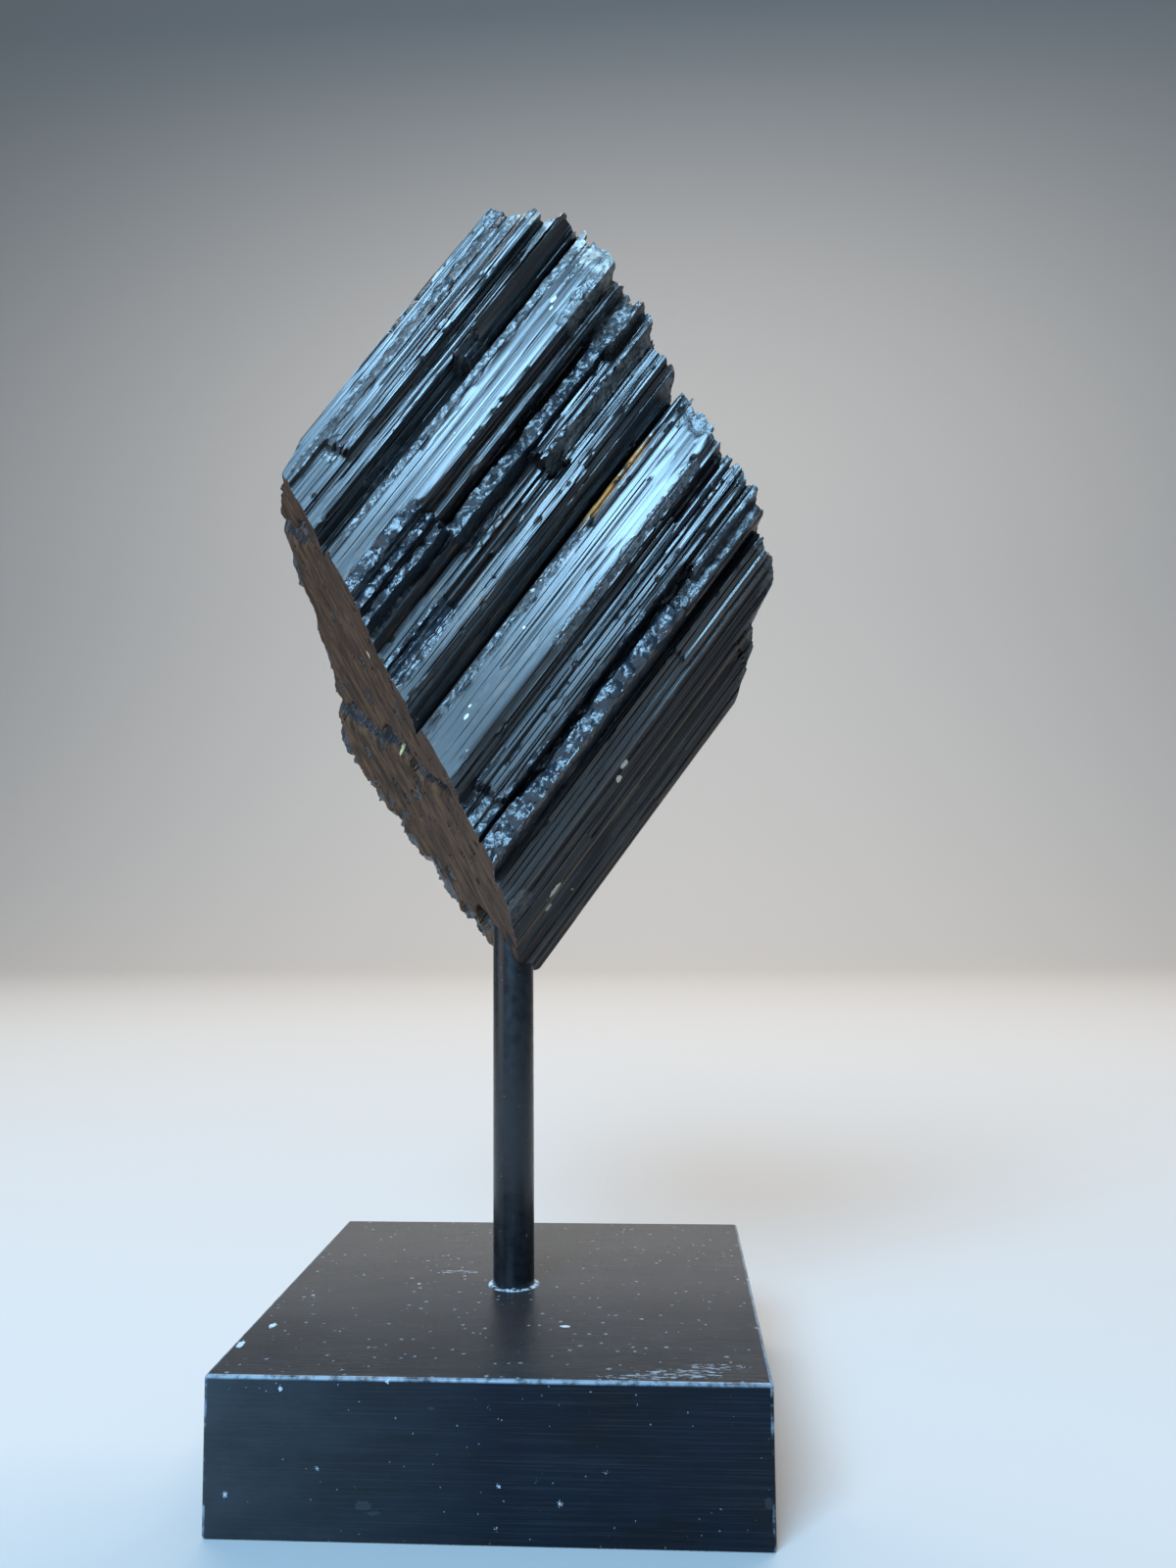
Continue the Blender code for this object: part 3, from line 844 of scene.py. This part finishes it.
def crystalMesh():
    steps = crystal["depthSteps"]
    rows = len(stations) - 1

    def none(column, points):
        return np.zeros(len(points))

    def full(column, points):
        return np.ones(len(points))

    def crumbling(column, points):
        return endMarks(points)

    def frontBroken(column, points):
        return np.maximum(brokenShare(points[:, 0], points[:, 1])[0], endMarks(points))

    def frontCrumbs(column, points):
        return np.maximum(brokenShare(points[:, 0], points[:, 1])[2], 0.8 * endMarks(points))

    def backBroken(column, points):
        return np.maximum(backPlace(column, points[:, 1])[2], endMarks(points))

    def startBroken(column, points):
        return np.clip(sawnRelief(points[:, 0], points[:, 2])[1], 0, 1)

    def startSawn(column, points):
        return (points[:, 1] < sawnPlane(points[:, 0], points[:, 2]) + 1.6).astype(float)

    def front(column, row):
        return crystalPlace(column, 0.0 * column, stations[row])

    def back(column, row):
        return crystalPlace(column, 0.0 * column + 1.0, stations[row])

    def upperSide(column, row):
        return crystalPlace(0 * column, column / steps, stations[row])

    def lowerSide(column, row):
        return crystalPlace(0 * column + lastColumn, column / steps, stations[row])

    def start(column, row):
        return crystalPlace(column, row / steps, 0.0 * column - anywhere)

    def end(column, row):
        return crystalPlace(column, row / steps, 0.0 * column + anywhere)

    sheets = [
        sheetMesh(lastColumn, rows, front, (frontBroken, frontCrumbs, none)),
        sheetMesh(lastColumn, rows, back, (backBroken, crumbling, none)),
        sheetMesh(steps, rows, upperSide, (crumbling, crumbling, none)),
        sheetMesh(steps, rows, lowerSide, (crumbling, crumbling, none)),
        sheetMesh(lastColumn, steps, start, (startBroken, none, startSawn)),
        sheetMesh(lastColumn, steps, end, (full, full, none)),
    ]
    bm = bmesh.new()
    for part in sheets:
        bm.from_mesh(part)
        bpy.data.meshes.remove(part)
    bmesh.ops.remove_doubles(bm, verts=list(bm.verts), dist=crystal["merge"])
    bmesh.ops.dissolve_degenerate(bm, edges=list(bm.edges), dist=crystal["merge"])
    bmesh.ops.triangulate(bm, faces=list(bm.faces))
    dropDoubled(bm)
    bmesh.ops.recalc_face_normals(bm, faces=list(bm.faces))
    openEdges = sum(1 for edge in bm.edges if len(edge.link_faces) != 2)
    print("crystal mesh:", len(bm.faces), "triangles,", openEdges, "open edges")
    mesh = bpy.data.meshes.new("crystalShape")
    bm.to_mesh(mesh)
    bm.free()
    return mesh


def markColumns(mesh):
    # The crystal's own directions and how lined each face is, for its material
    points = pointsOf(mesh)
    layer = mesh.attributes.new("columns", "FLOAT_VECTOR", "POINT")
    layer.data.foreach_set("vector", points.ravel())
    kept = np.ones(len(points))
    for low, high, share in smoothFaces:
        kept -= (1.0 - share) * between(points[:, 0], low, high, 0.1)
    layer = mesh.attributes.new("lined", "FLOAT", "POINT")
    layer.data.foreach_set("value", kept.astype(np.float32))


# Pale grains caught in the front, as (across, along, reach across, reach along)
frontGrains = (
    (-21.9, 43.4, 0.5, 0.9), (-21.2, 41.5, 0.3, 0.6), (41.3, -19.6, 0.4, 1.3), (42.0, -22.3, 0.45, 0.9),
    (44.6, -46.5, 0.35, 2.2), (45.4, -50.0, 0.3, 1.0), (49.3, -41.0, 0.3, 1.6), (14.2, -31.5, 0.35, 0.8),
    (13.5, -29.6, 0.25, 0.5), (12.6, -12.0, 0.3, 0.4), (-37.8, -6.0, 0.3, 0.8),
)
# and in the sawn face, as (across, out, reach across, reach out)
sawnGrains = ((-0.9, -4.2, 0.7, 1.3), (1.3, -5.2, 1.0, 1.0), (-12.3, 7.2, 0.9, 0.5), (38.6, -8.4, 0.9, 1.2))

crystalFinish = {
    "black": (0.006, 0.007, 0.009),
    "film": (0.040, 0.042, 0.044),
    "rust": (0.110, 0.070, 0.046),
    "brokenToneAndSheen": (0.010, 0.016, 0.024),
    "sawnTone": (0.120, 0.062, 0.036),
    "sawnDark": (0.032, 0.018, 0.012),
    "crumbs": (0.150, 0.155, 0.150),
    "crust": (0.42, 0.37, 0.30),
    "pale": (0.60, 0.57, 0.46),
    "grain": (0.55, 0.46, 0.24),
    "orange": (0.46, 0.20, 0.045),
    "striationLean": 0.085,
    "chipLean": 0.30,
    "chipSize": 1.0,
    "finishes": (("tourmaline", 0.5), ("dullUnderside", 0.12), ("sawnFace", 0.06)),  # name, gloss
    "underside": 40.8,
    "refraction": 1.72,
    "relief": 0.00005,
}


def crystalMaterial(name, gloss):
    material, tree, shader = newMaterial(name)
    tone = crystalFinish
    place = attributeNode(tree, "columns", "Vector")
    across, along, out = separated(tree, place)
    crumbs, lined = attributeNode(tree, "crumbs"), attributeNode(tree, "lined")
    sawn = rangeNode(tree, attributeNode(tree, "sawn"), 0.35, 0.65)
    ragged = noiseNode(tree, place, 1.5, 3.0)
    broken = rangeNode(tree, mathNode(tree, "ADD", attributeNode(tree, "broken"), ragged), 0.80, 1.02)
    lines = useGroup(tree, striation, Place=place)
    chips = useGroup(tree, brokenSurface, Place=place, Size=tone["chipSize"])
    facing = rangeNode(tree, out, 0.0, 2.0)

    # Dull films: grey over the lower ends of the columns, rusty in patches
    lower = rangeNode(tree, along, -26.0, 14.0, 1.0, 0.10)
    film = allOf(tree, blotches(tree, place, (0.35, 0.05, 0.35), 0.40, 0.62), lower)
    colour = mixColour(tree, allOf(tree, film, 0.75), tone["black"], tone["film"])
    rust = allOf(tree, blotches(tree, place, (0.55, 0.14, 0.55), 0.52, 0.62), facing,
                 stretchMask(tree, along, -30.0, 14.0, 5.0), stretchMask(tree, across, -23.0, 17.5, 0.8))
    colour = mixColour(tree, allOf(tree, rust, 0.55), colour, tone["rust"])
    loose = allOf(tree, crumbs, blotches(tree, place, (1.3, 0.9, 1.3), 0.40, 0.60))
    # Broken patches: the chips' own near-black, tinted blue as a painted sheen, with pale crumbs in places
    colour = mixColour(tree, broken, colour, mixColour(tree, loose, tone["brokenToneAndSheen"], tone["crumbs"]))

    # Pale crust at the top end, iron stain and pale grains in the deepest groove
    crust = allOf(tree, broken, blotches(tree, place, (0.5, 0.5, 0.5), 0.42, 0.60),
                  stretchMask(tree, across, -40.0, -14.0, 3.0), rangeNode(tree, along, 50.0, 55.0))
    colour = mixColour(tree, crust, colour, tone["crust"])
    stain = allOf(tree, stretchMask(tree, across, 7.2, 9.7, 0.3), stretchMask(tree, along, 12.0, 31.0, 3.0),
                  blotches(tree, place, (0.9, 0.22, 0.9), 0.44, 0.56), facing)
    colour = mixColour(tree, stain, colour, tone["orange"])
    lip = allOf(tree, stretchMask(tree, across, 8.3, 9.6, 0.1), stretchMask(tree, along, -32.0, -1.0, 1.5),
                specked(tree, place, 1.5, 0.9, 0.55), facing)
    colour = mixColour(tree, lip, colour, tone["pale"])
    colour = mixColour(tree, allOf(tree, specked(tree, place, 2.6, 0.28, 0.08), 0.55), colour, tone["pale"])
    edges = rangeNode(tree, blotches(tree, place, (1.6, 1.6, 1.6), 0.3, 0.7), 0.0, 1.0, 0.5, 2.4)
    grains = allOf(tree, spots(tree, across, along, edges, frontGrains), facing)
    colour = mixColour(tree, grains, colour, tone["pale"])

    # Dull underside with rusty seams between its columns
    under = rangeNode(tree, across, 40.2, 41.4)
    seams = [stretchMask(tree, across, low, low + 0.5, 0.15) for low in (44.7, 49.9)]
    seams = allOf(tree, mathNode(tree, "ADD", *seams), blotches(tree, place, (0.2, 0.06, 0.2), 0.35, 0.55))
    colour = mixColour(tree, allOf(tree, seams, 0.6), colour, tone["rust"])

    # Matt brown sawn face with black pits
    grained = blotches(tree, place, (0.12, 0.12, 0.8), 0.38, 0.62)
    brown = mixColour(tree, grained, tone["sawnDark"], tone["sawnTone"])
    shade = blotches(tree, place, (0.15, 0.15, 0.25), 0.5, 0.62)
    brown = mixColour(tree, allOf(tree, shade, 0.6), brown, tone["sawnDark"])
    pits = specked(tree, stretched(tree, place, 0.45, 1.0, 1.0), 1.5, 0.55, 0.45)
    # Pits and broken parts of the sawn face take the same blue-tinted chip colour
    brown = mixColour(tree, anyOf(tree, broken, allOf(tree, pits, 0.8)), brown, tone["brokenToneAndSheen"])
    brown = mixColour(tree, spots(tree, across, out, edges, sawnGrains), brown, tone["grain"])
    colour = mixColour(tree, sawn, colour, brown)

    roughness = rangeNode(tree, lines["Tone"], 0.3, 0.7, 0.20, 0.30)
    roughness = mixValue(tree, anyOf(tree, film, allOf(tree, lower, 0.75)), roughness, 0.70)
    roughness = mixValue(tree, under, roughness, 0.42)
    roughness = mixValue(tree, broken, roughness, 0.34)
    roughness = mixValue(tree, sawn, roughness, mixValue(tree, broken, 0.60, 0.34))
    shader.inputs["Specular IOR Level"].default_value = gloss
    shader.inputs["IOR"].default_value = tone["refraction"]

    # The narrow faces lean across the columns, the chips lean at random
    turned = addNode(tree, "ShaderNodeVectorTransform", {
        "vector_type": "NORMAL", "convert_from": "OBJECT", "convert_to": "WORLD"}, i0=acrossColumns)
    whole = [mathNode(tree, "SUBTRACT", 1.0, mask) for mask in (broken, sawn)]
    lean = allOf(tree, lines["Lean"], *whole, lined, tone["striationLean"])
    sideways = scaledVector(tree, turned.outputs[0], lean)
    random = vectorNode(tree, "SUBTRACT", chips["Lean"], (0.5, 0.5, 0.5))
    random = scaledVector(tree, random, allOf(tree, broken, tone["chipLean"]))
    normal = addNode(tree, "ShaderNodeNewGeometry").outputs["Normal"]
    normal = vectorNode(tree, "ADD", vectorNode(tree, "ADD", normal, sideways), random)
    normal = vectorNode(tree, "NORMALIZE", normal)
    rough = allOf(tree, chips["Height"], 1.6)
    height = mixValue(tree, broken, allOf(tree, lines["Height"], lined), rough)
    grain = noiseNode(tree, place, 1.6, 5.0, 0.7)
    height = mixValue(tree, sawn, height, mixValue(tree, broken, grain, rough))
    normal = bumpNormal(tree, height, tone["relief"], normal)
    connect(tree, shader, {"Base Color": colour, "Roughness": roughness, "Normal": normal})
    return material


def finishPiece(name, mesh, materials, node, sharp, chosen=None):
    mesh.shade_smooth()
    mesh.set_sharp_from_angle(angle=math.radians(sharp))
    mesh.materials.clear()
    for material in materials:
        mesh.materials.append(material)
    if chosen is not None:
        mesh.polygons.foreach_set("material_index", chosen.astype(np.int32))
    piece = bpy.data.objects.new(name, mesh)
    bpy.context.collection.objects.link(piece)
    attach(piece, "root")
    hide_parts(node)


def chosenFinish(mesh):
    # Each triangle's finish: 0 on the columns and broken patches, 1 underneath, 2 on the sawn face
    corners = np.empty(len(mesh.loops), np.int32)
    mesh.loops.foreach_get("vertex_index", corners)
    sawn, broken = (np.empty(len(mesh.vertices), np.float32) for _ in range(2))
    mesh.attributes["sawn"].data.foreach_get("value", sawn)
    mesh.attributes["broken"].data.foreach_get("value", broken)
    values = (pointsOf(mesh)[:, 0], sawn, broken)
    across, sawn, broken = (value[corners].reshape(-1, 3).mean(axis=1) for value in values)
    return np.where((sawn > 0.5) & (broken < 0.5), 2, np.where(across > crystalFinish["underside"], 1, 0))


def thinned(mesh, triangles):
    # Fewer triangles, taken where the surface is flattest
    piece = bpy.data.objects.new("thinning", mesh)
    bpy.context.collection.objects.link(piece)
    less = piece.modifiers.new("fewer", "DECIMATE")
    less.ratio = min(1.0, triangles / len(mesh.polygons))
    depsgraph = bpy.context.evaluated_depsgraph_get()
    thin = bpy.data.meshes.new_from_object(piece.evaluated_get(depsgraph), depsgraph=depsgraph)
    bpy.data.objects.remove(piece)
    return thin


def buildCrystal():
    mesh = thinned(crystalMesh(), crystal["triangles"])
    print("crystal thinned to", len(mesh.polygons), "triangles")
    markColumns(mesh)
    chosen = chosenFinish(mesh)
    mesh.transform(Matrix.Scale(mm, 4) @ crystalFrame())
    materials = [crystalMaterial(name, gloss) for name, gloss in crystalFinish["finishes"]]
    finishPiece("crystal_columns", mesh, materials, "crystal", 32.0, chosen)


buildCrystal()
print("crystal built")


# Block and rod

rodShape = {
    "radius": 4.0,
    "sides": 96,
    "place": (-1.0, 1.2),
    "bottom": 10.0,
    "top": 108.0,
    "edge": 0.5,
    "black": (0.006, 0.007, 0.009),
    "grey": (0.010, 0.012, 0.016),
    "dust": (0.5, 0.55, 0.6),
    "relief": 0.00004,
}

block = {
    "side": 90.0,
    "height": 25.0,
    "edge": 0.6,
    "finishes": (("blockTop", 0.5), ("blockSides", 0.14)),  # name, gloss
    "refraction": 1.42,
    "relief": 0.00004,
    "black": (0.007, 0.008, 0.011),
    "blue": (0.007, 0.011, 0.019),
    "paintedSheen": (0.040, 0.048, 0.055),
    "topSheen": (0.040, 0.036, 0.034),
    "wearAndHighlight": (0.30, 0.38, 0.46),
    "rimFrom": 0.65,
    "rimFull": 0.4,
    "speck": (0.46, 0.54, 0.62),
    "beadRadius": 4.3,
    "beadSize": 0.42,
    "beadOutline": ((-1.0, -0.2), (-1.0, 0.9), (0.0, 0.8), (0.8, 0.3), (1.2, -0.2)),
}
# Dents in the front face, as (x, z, reach x, reach z)
frontDents = (
    (-19.2, 5.7, 1.9, 1.0), (-17.6, 4.6, 1.6, 0.45), (43.9, 7.4, 1.0, 1.3), (-8.5, 20.5, 0.7, 0.35),
)
# Scuffs and crumbs of paint on the top, as (x, y, reach x, reach y)
topScuffs = (
    (31.0, -41.5, 9.0, 2.6), (36.5, -38.5, 6.0, 1.6), (24.0, -43.2, 8.0, 1.3), (-13.0, 8.0, 6.0, 1.4),
)
topCrumbs = (
    (10.8, -21.5, 1.2, 0.8), (-19.5, 0.5, 0.6, 0.4), (-41.0, -23.0, 0.8, 1.6), (-43.6, -32.0, 0.8, 2.2),
)


def blockMaterial(name, gloss):
    material, tree, shader = newMaterial(name)
    place = objectPlace(tree)
    x, y, z = separated(tree, place)
    lines = noiseNode(tree, stretched(tree, place, 0.035, 3.4, 3.4), 1.0, 4.0, 0.75)
    cloud = blotches(tree, place, (0.05, 0.08, 0.10), 0.35, 0.65)
    _, facingY, facingZ = separated(tree, addNode(tree, "ShaderNodeNewGeometry").outputs["Normal"])
    top = rangeNode(tree, facingZ, 0.6, 0.9)
    front = rangeNode(tree, facingY, -0.6, -0.9)

    colour = mixColour(tree, cloud, block["black"], block["blue"])
    # Brush lines a little paler, in the same grey as the painted sheen
    colour = mixColour(tree, allOf(tree, rangeNode(tree, lines, 0.50, 0.66), 0.3), colour, block["paintedSheen"])
    # Painted sheen: the front face is painted paler towards its left, where it would mirror the light
    leftSheen = rangeNode(tree, x, -46.0, 2.0, 0.85, 0.0)
    paintedSheen = allOf(tree, front, leftSheen, rangeNode(tree, cloud, 0.0, 1.0, 0.6, 1.0))
    colour = mixColour(tree, paintedSheen, colour, block["paintedSheen"])
    # Painted reflection: the top face is tinted brown-grey in blotches, standing in for its sheen
    topSheen = allOf(tree, top, rangeNode(tree, cloud, 0.0, 1.0, 0.3, 0.7))
    colour = mixColour(tree, topSheen, colour, block["topSheen"])

    # Worn paint and a painted highlight: pale along the top rim and, in places, the upright corners
    def nearEdge(value, limit):
        return rangeNode(tree, value, limit - block["rimFrom"], limit - block["rimFull"])

    nearX, nearY = (nearEdge(mathNode(tree, "ABSOLUTE", value), block["side"] / 2) for value in (x, y))
    rim = allOf(tree, nearEdge(z, block["height"]), anyOf(tree, nearX, nearY))
    corner = allOf(tree, nearX, nearY, blotches(tree, place, (0.3, 0.3, 0.3), 0.50, 0.60))
    wearAndHighlight = allOf(tree, anyOf(tree, rim, corner), blotches(tree, place, (0.5, 0.5, 0.5), 0.34, 0.56), 0.7)
    colour = mixColour(tree, wearAndHighlight, colour, block["wearAndHighlight"])

    # Dust, scuffs and the ring of glue at the rod's foot
    fine = allOf(tree, specked(tree, place, 1.9, 0.42, 0.75), 0.35)
    coarse = allOf(tree, specked(tree, place, 5.5, 0.50, 0.6), 0.75)
    edges = rangeNode(tree, blotches(tree, place, (1.2, 1.2, 1.2), 0.3, 0.7), 0.0, 1.0, 0.6, 3.5)
    scuffs = allOf(tree, spots(tree, x, y, edges, topScuffs), top,
                   blotches(tree, place, (0.5, 1.8, 1.0), 0.50, 0.60), 0.6)
    crumbs = allOf(tree, spots(tree, x, y, edges, topCrumbs), top)
    foot = (*rodShape["place"], block["height"])
    fromRod = vectorNode(tree, "DISTANCE", place, foot, output="Value")
    reach = block["beadRadius"] + 0.45
    ring = allOf(tree, rangeNode(tree, fromRod, reach, reach + 0.35, 1.0, 0.0),
                 blotches(tree, place, (1.1, 1.1, 1.1), 0.42, 0.54))
    dents = allOf(tree, spots(tree, x, z, edges, frontDents), front)
    # The dents are painted a little paler as well, a painted highlight
    marks = anyOf(tree, fine, coarse, crumbs, ring, scuffs, allOf(tree, dents, 0.03))
    colour = mixColour(tree, marks, colour, block["speck"])

    sides, upper = (rangeNode(tree, lines, 0.35, 0.65, *limits) for limits in ((0.26, 0.40), (0.17, 0.24)))
    roughness = mixValue(tree, marks, mixValue(tree, top, sides, upper), 0.7)
    height = mathNode(tree, "MULTIPLY_ADD", marks, 1.5, allOf(tree, lines, 1.2))
    height = mathNode(tree, "MULTIPLY_ADD", dents, -14.0, height)
    normal = bumpNormal(tree, height, block["relief"])
    connect(tree, shader, {"Base Color": colour, "Roughness": roughness, "Normal": normal})
    shader.inputs["Specular IOR Level"].default_value = gloss
    shader.inputs["IOR"].default_value = block["refraction"]
    return material


def addBead(bm):
    # Uneven ring of glue where the rod enters the block
    x, y = rodShape["place"]
    radius, size, height = block["beadRadius"], block["beadSize"], block["height"]
    profile = [bm.verts.new((x + radius + across * size, y, height + up * size))
               for across, up in block["beadOutline"]]
    rim = [bm.edges.new(pair) for pair in zip(profile, profile[1:] + profile[:1])]
    bmesh.ops.spin(bm, geom=profile + rim, cent=(x, y, height), axis=(0.0, 0.0, 1.0), angle=math.tau,
                   steps=72, use_merge=True)
    for vert in bm.verts:
        if abs(math.hypot(vert.co.x - x, vert.co.y - y) - radius) < 2 * size and vert.co.z > height - size:
            angle = math.atan2(vert.co.y - y, vert.co.x - x)
            swell = 0.6 + 0.7 * float(softNoise(np.array(angle * 4.0 + 20.0), np.array(3.0), 401))
            vert.co.z = height + (vert.co.z - height) * max(swell, 0.15)


def buildBlock():
    bm = bmesh.new()
    size = Matrix.Diagonal((block["side"], block["side"], block["height"], 1.0))
    lift = Matrix.Translation((0.0, 0.0, block["height"] / 2))
    bmesh.ops.create_cube(bm, size=1.0, matrix=lift @ size)
    bmesh.ops.bevel(bm, geom=list(bm.edges), offset=block["edge"], segments=3, affect="EDGES",
                    profile=0.5, material=-1)
    addBead(bm)
    bmesh.ops.recalc_face_normals(bm, faces=list(bm.faces))
    bmesh.ops.transform(bm, matrix=Matrix.Scale(mm, 4), verts=list(bm.verts))
    mesh = bpy.data.meshes.new("block")
    bm.to_mesh(mesh)
    bm.free()
    chosen = np.array([0 if face.normal.z > 0.5 else 1 for face in mesh.polygons])
    materials = [blockMaterial(name, gloss) for name, gloss in block["finishes"]]
    finishPiece("block", mesh, materials, "base", 40.0, chosen)


def rodMaterial():
    material, tree, shader = newMaterial("blackRod")
    place = objectPlace(tree)
    cloud = noiseNode(tree, place, 0.5, 4.0)
    colour = mixColour(tree, rangeNode(tree, cloud, 0.4, 0.7), rodShape["black"], rodShape["grey"])
    dust = allOf(tree, specked(tree, place, 1.6, 0.25, 0.6), 0.16)
    colour = mixColour(tree, dust, colour, rodShape["dust"])
    normal = bumpNormal(tree, cloud, rodShape["relief"])
    roughness = rangeNode(tree, cloud, 0.3, 0.7, 0.24, 0.36)
    connect(tree, shader, {"Base Color": colour, "Roughness": roughness, "Normal": normal})
    return material


def buildRod():
    bm = bmesh.new()
    low, high = rodShape["bottom"], rodShape["top"]
    place = Matrix.Translation((*rodShape["place"], (low + high) / 2))
    bmesh.ops.create_cone(
        bm, cap_ends=True, segments=rodShape["sides"], radius1=rodShape["radius"],
        radius2=rodShape["radius"], depth=high - low, matrix=place,
    )
    rims = [edge for edge in bm.edges if abs(edge.verts[0].co.z - edge.verts[1].co.z) < 0.1]
    bmesh.ops.bevel(bm, geom=rims, offset=rodShape["edge"], segments=2, affect="EDGES",
                    profile=0.5, material=-1)
    bmesh.ops.transform(bm, matrix=Matrix.Scale(mm, 4), verts=list(bm.verts))
    mesh = bpy.data.meshes.new("rod")
    bm.to_mesh(mesh)
    bm.free()
    finishPiece("black_rod", mesh, [rodMaterial()], "rod", 40.0)


buildBlock()
buildRod()
print("block and rod built")
